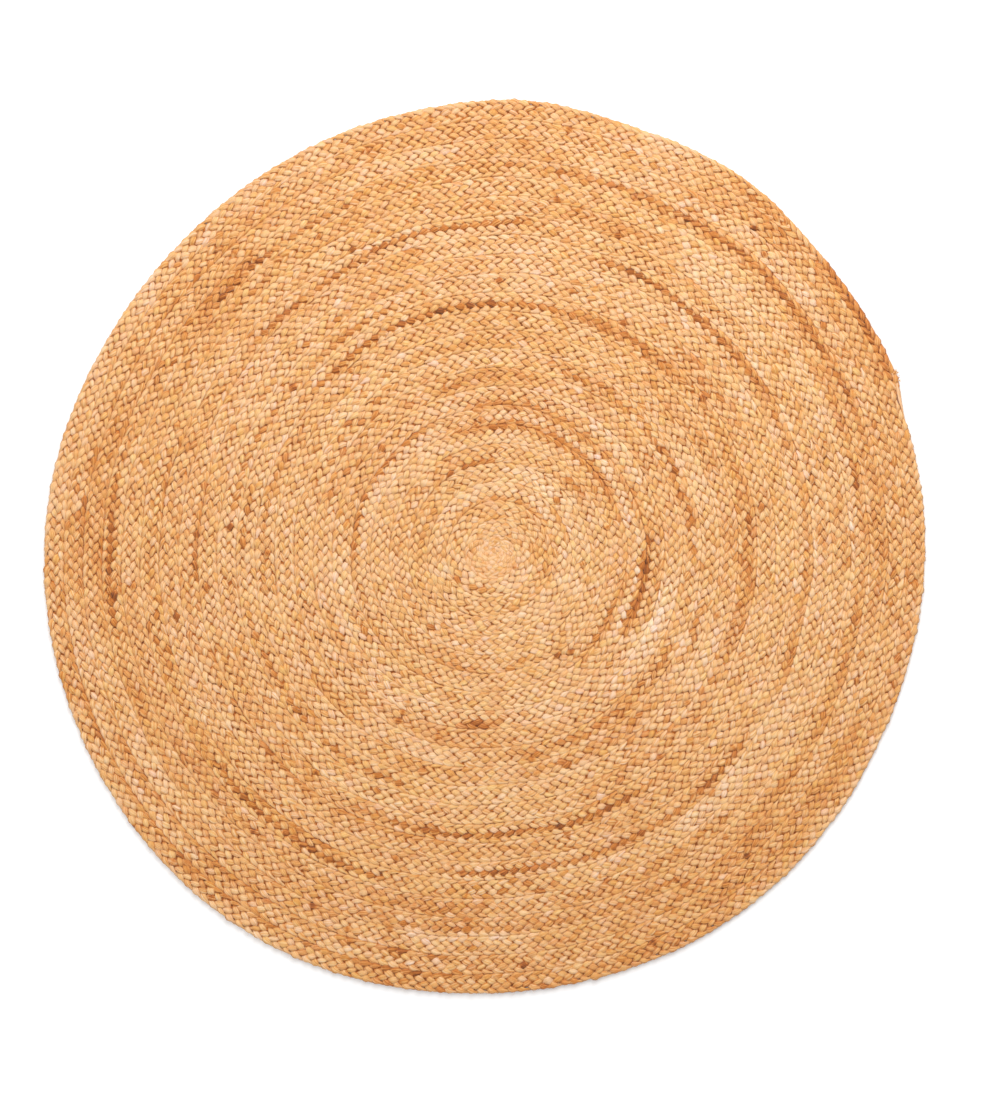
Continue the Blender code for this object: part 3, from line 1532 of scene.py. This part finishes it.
@dataclass(frozen=True)
class JuteFibreGroup:
    """The jute itself: from a place in the strand and its tone to colour, roughness and relief.

    Fine fibres and broader locks of them streak the strand along its length. The stops are the
    jute's colours from dark to pale. The yellow tint lies over them where the warmth is 0, and
    the pink one where it is 1. inputs are the group's plain inputs, with their usual values.
    """

    name: str = "jute fibre"
    fine_scale: tuple[float, float, float] = (70.0, 2300.0, 2300.0)
    lock_scale: tuple[float, float, float] = (30.0, 700.0, 700.0)
    fine_detail: float = 3.0
    lock_detail: float = 2.0
    fine_share: float = 0.62
    lock_share: float = 0.72
    roughest: float = 0.92
    roughness_fall: float = 0.30
    yellow_tint: tuple[float, float, float, float] = (1.00, 1.00, 0.79, 1.0)
    pink_tint: tuple[float, float, float, float] = (1.00, 0.98, 1.18, 1.0)
    inputs: tuple[tuple[str, float], ...] = (("Tone", 0.6), ("Warmth", 0.5), ("Streaks", 1.0))
    stops: tuple[tuple[float, tuple[float, float, float]], ...] = (
        (0.00, (0.110, 0.032, 0.008)),
        (0.18, (0.340, 0.092, 0.014)),
        (0.33, (0.570, 0.190, 0.034)),
        (0.48, (0.705, 0.340, 0.102)),
        (0.62, (0.775, 0.458, 0.205)),
        (0.78, (0.815, 0.545, 0.325)),
        (0.92, (0.850, 0.630, 0.455)),
        (1.00, (0.885, 0.720, 0.570)),
    )

    def sockets(self, interface: bpy.types.NodeTreeInterface) -> None:
        """Give the group its named inputs and outputs.

        Args:
            interface: the group's interface.
        """
        interface.new_socket("Place", in_out="INPUT", socket_type="NodeSocketVector")
        for name, value in self.inputs:
            socket = interface.new_socket(name, in_out="INPUT", socket_type="NodeSocketFloat")
            socket.default_value = value
        interface.new_socket("Color", in_out="OUTPUT", socket_type="NodeSocketColor")
        interface.new_socket("Roughness", in_out="OUTPUT", socket_type="NodeSocketFloat")
        interface.new_socket("Height", in_out="OUTPUT", socket_type="NodeSocketFloat")

    def build(self) -> bpy.types.NodeTree:
        """Build the shader node group once.

        Returns:
            The group, ready to be placed in a material.
        """
        group = bpy.data.node_groups.new(self.name, "ShaderNodeTree")
        self.sockets(group.interface)
        sheet = NodeSheet(group)
        given = sheet.add("NodeGroupInput").outputs
        result = sheet.add("NodeGroupOutput").inputs
        fine = sheet.noise(sheet.stretched(given["Place"], self.fine_scale), self.fine_detail)
        lock = sheet.noise(sheet.stretched(given["Place"], self.lock_scale), self.lock_detail)
        locks = sheet.math("MULTIPLY", sheet.math("SUBTRACT", lock, 0.5), self.lock_share)
        grain = sheet.math("MULTIPLY", sheet.math("SUBTRACT", fine, 0.5), self.fine_share)
        relief = sheet.math("ADD", locks, grain)
        streak = sheet.math("MULTIPLY", relief, given["Streaks"])
        sheet.join(self.colour(sheet, given, streak), result["Color"])
        rough = sheet.math("MULTIPLY", fine, self.roughness_fall)
        sheet.join(sheet.math("SUBTRACT", self.roughest, rough), result["Roughness"])
        sheet.join(relief, result["Height"])
        return group

    def colour(
        self, sheet: NodeSheet, given: bpy.types.bpy_prop_collection, streak: bpy.types.NodeSocket
    ) -> bpy.types.NodeSocket:
        """Turn the tone, the streaks and the warmth into the jute's colour.

        Args:
            sheet: where the nodes go.
            given: the group's inputs.
            streak: what the fibres add to the tone.

        Returns:
            The colour.
        """
        ramp = sheet.add("ShaderNodeValToRGB")
        self.fill(ramp.color_ramp)
        sheet.join(sheet.math("ADD", given["Tone"], streak), ramp.inputs["Fac"])
        tint = sheet.add("ShaderNodeMix", data_type="RGBA")
        tint.inputs["A"].default_value = self.yellow_tint
        tint.inputs["B"].default_value = self.pink_tint
        sheet.join(given["Warmth"], tint.inputs["Factor"])
        tinted = sheet.add("ShaderNodeMix", data_type="RGBA", blend_type="MULTIPLY")
        tinted.inputs["Factor"].default_value = 1.0
        sheet.join(ramp.outputs["Color"], tinted.inputs["A"])
        sheet.join(tint.outputs["Result"], tinted.inputs["B"])
        return tinted.outputs["Result"]

    def fill(self, ramp: bpy.types.ColorRamp) -> None:
        """Give the ramp its stops, dark to pale.

        Args:
            ramp: the ramp, with the two stops that a new one has.
        """
        while len(ramp.elements) < len(self.stops):
            ramp.elements.new(0.5)
        for element, (place, colour) in zip(ramp.elements, self.stops):
            element.position = place
            element.color = (*colour, 1.0)


@dataclass(frozen=True)
class JuteFinish:
    """One jute material: the shared fibre group with this material's own values.

    values names each attribute that the strands carry, its output, and the group's input that
    it feeds.
    """

    name: str
    streaks: float = 1.0
    relief_depth: float = 0.0012
    sheen: float = 0.10
    sheen_roughness: float = 0.5
    specular: float = 0.35
    values: tuple[tuple[str, str, str], ...] = (
        ("strand_place", "Vector", "Place"),
        ("tone", "Fac", "Tone"),
        ("warmth", "Fac", "Warmth"),
    )

    def build(self, group: bpy.types.NodeTree) -> bpy.types.Material:
        """Build the material round the fibre group.

        Args:
            group: the shared fibre group.

        Returns:
            The material.
        """
        material = bpy.data.materials.new(self.name)
        material.use_nodes = True
        sheet = NodeSheet(material.node_tree)
        shader = material.node_tree.nodes["Principled BSDF"]
        shader.inputs["Sheen Weight"].default_value = self.sheen
        shader.inputs["Sheen Roughness"].default_value = self.sheen_roughness
        shader.inputs["Specular IOR Level"].default_value = self.specular
        fibre = sheet.add("ShaderNodeGroup", node_tree=group)
        fibre.inputs["Streaks"].default_value = self.streaks
        for name, output, target in self.values:
            value = sheet.add("ShaderNodeAttribute", attribute_name=name)
            sheet.join(value.outputs[output], fibre.inputs[target])
        bump = sheet.add("ShaderNodeBump")
        bump.inputs["Distance"].default_value = self.relief_depth
        sheet.join(fibre.outputs["Height"], bump.inputs["Height"])
        sheet.join(fibre.outputs["Color"], shader.inputs["Base Color"])
        sheet.join(fibre.outputs["Roughness"], shader.inputs["Roughness"])
        sheet.join(bump.outputs["Normal"], shader.inputs["Normal"])
        return material


@dataclass(frozen=True)
class SewnGroundAndShade:
    """The thin sewn body of the coil, dark between the strands with painted shade for their gaps.
    """

    path: CoilPath
    inset: float = 0.0060
    low: float = 0.0036
    high: float = 0.0058
    rings: int = 22
    step_deg: float = 4.0
    # painted shade: the ground's dark tone stands for the shadow in the gaps between strands, over
    # the jute and thread there
    tone: float = 0.20
    warmth: float = 0.20
    fibre_scale: float = 0.25

    def outline(self) -> Array:
        """Return its edge in the rug's frame."""
        return self.path.rim(self.inset, self.step_deg) - self.path.middle()

    def area(self) -> float:
        """Return the area inside its edge, in square metres."""
        x, y = self.outline().T
        return 0.5 * abs(float(np.dot(x, np.roll(y, -1)) - np.dot(y, np.roll(x, -1))))

    def points(self) -> Array:
        """Work out the mesh's points.

        Returns:
            The top's rings from the edge inwards, the bottom's, and their two middles.
        """
        edge, middle = self.outline(), -self.path.middle()
        layers = []
        for height in (self.high, self.low):
            for share in np.linspace(1.0, 0.0, self.rings + 1)[:-1]:
                flat = middle + (edge - middle) * share
                layers.append(np.column_stack([flat, np.full(len(edge), height)]))
        layers.append(np.array([[*middle, self.high], [*middle, self.low]]))
        return np.concatenate(layers)

    def faces(self, count: int) -> list[list[int]]:
        """List the faces: the top and the bottom, their middles and the rim between them.

        Args:
            count: how many points one ring has.

        Returns:
            The points of each face.
        """
        bottom = self.rings * count
        last = bottom - count
        top_middle = 2 * bottom
        faces = []
        for at in range(count):
            after = (at + 1) % count
            for outer in range(0, last, count):
                inner = outer + count
                faces.append([outer + at, outer + after, inner + after, inner + at])
                under, within = bottom + outer, bottom + inner
                faces.append([under + after, under + at, within + at, within + after])
            faces.append([last + at, last + after, top_middle])
            faces.append([bottom + last + after, bottom + last + at, top_middle + 1])
            faces.append([at, bottom + at, bottom + after, after])
        return faces

    def build(self, material: bpy.types.Material) -> bpy.types.Object:
        """Build the closed sheet.

        Args:
            material: what the sheet wears.

        Returns:
            The sheet's object, at the origin.
        """
        points = self.points()
        mesh = bpy.data.meshes.new("sewn_ground_and_shade")
        mesh.from_pydata(points.tolist(), [], self.faces(len(self.outline())))
        mesh.materials.append(material)
        count = len(points)
        tone, warmth = np.full(count, self.tone), np.full(count, self.warmth)
        write_jute(mesh, tone, warmth, points * self.fibre_scale)
        return link("sewn_ground_and_shade", mesh)


class Lamp(NamedTuple):
    """A square soft lamp that looks at the rug: its place, its size across and its watts."""

    name: str
    place: tuple[float, float, float]
    size: float
    power: float


@dataclass(frozen=True)
class Studio:
    """The pale floor, the soft light and the camera straight above the rug."""

    centre_x: float = 0.0177
    centre_y: float = -0.0020
    frame_height: float = 1.4906
    lens: float = 85.0
    sensor: float = 36.0
    floor_size: float = 60.0
    floor_tone: float = 0.93
    floor_roughness: float = 0.9
    floor_specular: float = 0.1
    air: float = 0.66
    lamps: tuple[Lamp, ...] = (
        Lamp("key_light", (0.45, 2.05, 2.25), 2.3, 75.0),
        Lamp("fill_light", (-1.2, 0.2, 3.2), 2.6, 34.0),
    )

    def floor(self) -> None:
        """Lay the floor, which isn't part of the rug."""
        bpy.ops.object.select_all(action="DESELECT")
        bpy.ops.mesh.primitive_plane_add(size=self.floor_size, location=(0.0, 0.0, 0.0))
        floor = bpy.context.active_object
        floor.name = "studio_floor"
        paper = bpy.data.materials.new("studio_paper")
        paper.use_nodes = True
        shader = paper.node_tree.nodes["Principled BSDF"]
        tone = self.floor_tone
        shader.inputs["Base Color"].default_value = (tone, tone, tone, 1.0)
        shader.inputs["Roughness"].default_value = self.floor_roughness
        shader.inputs["Specular IOR Level"].default_value = self.floor_specular
        floor.data.materials.append(paper)

    def light(self, lamp: Lamp) -> None:
        """Hang one lamp.

        Args:
            lamp: which lamp.
        """
        data = bpy.data.lights.new(lamp.name, "AREA")
        data.size = lamp.size
        data.energy = lamp.power
        holder = bpy.data.objects.new(lamp.name, data)
        holder.location = lamp.place
        holder.rotation_euler = (-Vector(lamp.place)).to_track_quat("-Z", "Y").to_euler()
        bpy.context.scene.collection.objects.link(holder)

    def camera(self) -> None:
        """Hang the camera over the rug, with +Y up in the view."""
        data = bpy.data.cameras.new("camera")
        data.lens = self.lens
        data.sensor_width = self.sensor
        distance = self.frame_height * self.lens / self.sensor
        camera = bpy.data.objects.new("camera", data)
        camera.location = (self.centre_x, self.centre_y, distance)
        bpy.context.scene.collection.objects.link(camera)
        bpy.context.scene.camera = camera

    def build(self) -> None:
        """Set the whole studio up."""
        self.floor()
        for lamp in self.lamps:
            self.light(lamp)
        self.camera()
        world = bpy.data.worlds.new("studio_air")
        world.use_nodes = True
        air = world.node_tree.nodes["Background"]
        air.inputs["Color"].default_value = (1.0, 1.0, 1.0, 1.0)
        air.inputs["Strength"].default_value = self.air
        bpy.context.scene.world = world
        bpy.context.scene.view_settings.view_transform = "Standard"


@dataclass(frozen=True)
class Rug:
    """The whole rug: its coiled plait, tail, tip and loose jute, and the sewn ground in painted
    shade.

    The body's plait starts a little way into the heart of the coil and ends where the tail
    starts. The tail's plait runs on from under it, almost to the tip.
    """

    path: CoilPath = CoilPath()
    heart_gap: float = 0.45
    overlap_deg: float = 8.0
    tail_end_deg: float = 2.2
    tail_strand_width: float = 0.0086
    tail_bands: tuple[Band, ...] = (Band(0.598, 33.0, 19.0, -0.22, 0.060),)
    strand_finish: JuteFinish = JuteFinish("jute_strand")
    loose_finish: JuteFinish = JuteFinish("jute_loose", streaks=0.3, relief_depth=0.0002)
    ground_shade_finish: JuteFinish = JuteFinish("jute_ground_and_shade", relief_depth=0.0004, sheen=0.0)

    def body(self) -> Plait:
        """Return the coil's own plait."""
        return Plait(
            name="plait_strand",
            path=self.path,
            strands=5,
            width=self.path.plait_width,
            first_back=float(self.path.table[0][-1]) - self.heart_gap,
            last_back=math.radians(self.path.tail_deg),
            fade_in=0.004,
            fade_out=0.05,
        )

    def tail(self) -> Plait:
        """Return the narrow plait that the coil ends in."""
        return Plait(
            name="tail_strand",
            path=self.path,
            strands=3,
            width=self.path.plait_width * self.path.tail_share,
            first_back=math.radians(self.path.tail_deg + self.overlap_deg),
            last_back=math.radians(self.tail_end_deg),
            fade_in=0.04,
            fade_out=0.02,
            strand_width=self.tail_strand_width,
            seed=700,
            bands=self.tail_bands,
        )

    def build(self) -> None:
        fibre = JuteFibreGroup().build()
        strand_jute = self.strand_finish.build(fibre)
        loose_jute = self.loose_finish.build(fibre)
        ground_shade_jute = self.ground_shade_finish.build(fibre)
        strands = self.body().build(strand_jute) + self.tail().build(strand_jute)
        strands.append(BoundTip(self.path).build(strand_jute))
        strands += LooseJute(self.path).build(loose_jute)
        ground = SewnGroundAndShade(self.path)
        sheet = ground.build(ground_shade_jute)
        for piece in (sheet, *strands):
            keep(piece)
        ground.area()
        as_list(strands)


def triangles(piece: bpy.types.Object) -> int:
    """Return how many triangles a mesh piece has."""
    return sum(len(face.vertices) - 2 for face in piece.data.polygons)


def keep(piece: bpy.types.Object) -> None:
    """Fix a piece to the rug's body, hide the rug's imported part, and report the piece.

    Args:
        piece: a finished piece of the rug.
    """
    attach(piece, BODY)
    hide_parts(RUG_NODE)
    log.info("%s: %d triangles", piece.name, triangles(piece))


def main() -> None:
    """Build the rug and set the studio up."""
    logging.basicConfig(level=logging.INFO, format="%(name)s %(message)s")
    bpy.ops.object.select_all(action="DESELECT")
    Rug().build()
    Studio().build()


if __name__ == "__main__":
    main()
